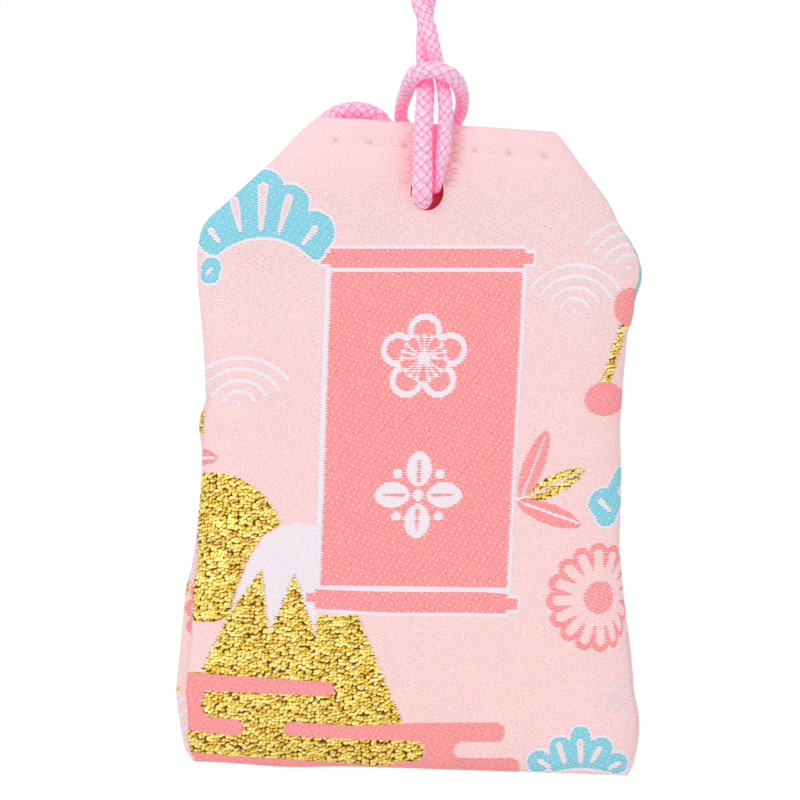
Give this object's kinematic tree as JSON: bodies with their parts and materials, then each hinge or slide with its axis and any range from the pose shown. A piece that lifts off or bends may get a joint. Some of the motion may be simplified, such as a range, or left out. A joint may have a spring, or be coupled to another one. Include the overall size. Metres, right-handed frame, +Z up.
{
  "type": "omamori charm",
  "caption": "Flat brocade amulet pouch with cut-off top corners, hung by a braided cord hitched through its hole, with a knot behind and a hanging loop above.",
  "frame": {"origin": "the hook's place inside the top of the hanging loop, just under the knot that ties the cord's ends", "axes": "+Z up, -Y out of the pouch's front, +X to the right as the front is seen"},
  "size_m": [0.0525, 0.0119, 0.1454],
  "materials": {
    "brocade": "woven satin twill with figured motifs",
    "lining": "plain weave",
    "padding": "needled wadding",
    "card": "matt board",
    "paper": "plain paper",
    "thread": "spun thread",
    "cord": "braided, satin yarn"
  },
  "bodies": {
    "loop": {"end_knot": "cord", "tail_left": "cord", "tail_right": "cord", "loop_strand_left": "cord", "loop_strand_right": "cord"},
    "neck": {"neck_strand_left": "cord", "neck_strand_right": "cord"},
    "hitch": {"front_strand_left": "cord", "front_strand_right": "cord", "hitch_arch": "cord", "knot_core": "cord", "left_ear": "cord", "right_ear": "cord"},
    "pouch": {"front_panel": "brocade", "back_panel": "brocade", "front_lining": "lining", "back_lining": "lining", "padding_sheet": "padding", "stiffener_card": "card", "prayer_slip": "paper", "top_stitch_front": "thread", "top_stitch_back": "thread", "left_seam_thread": "thread", "right_seam_thread": "thread", "bottom_seam_thread": "thread"}
  },
  "joints": [
    {"name": "cord_twist", "type": "hinge", "parent": "loop", "child": "neck", "pos_m": [0, 0, -0.034], "axis": [0, 0, 1], "range_deg": [-90, 90]},
    {"name": "cord_swing", "type": "hinge", "parent": "neck", "child": "hitch", "pos_m": [0, 0, -0.04], "axis": [1, 0, 0], "range_deg": [-40, 40], "deforming": ["neck_strand_left", "neck_strand_right"]},
    {"name": "pouch_sway", "type": "hinge", "parent": "hitch", "child": "pouch", "pos_m": [0.0002, 0.0008, -0.06], "axis": [0, 1, 0], "range_deg": [-12, 12]}
  ]
}
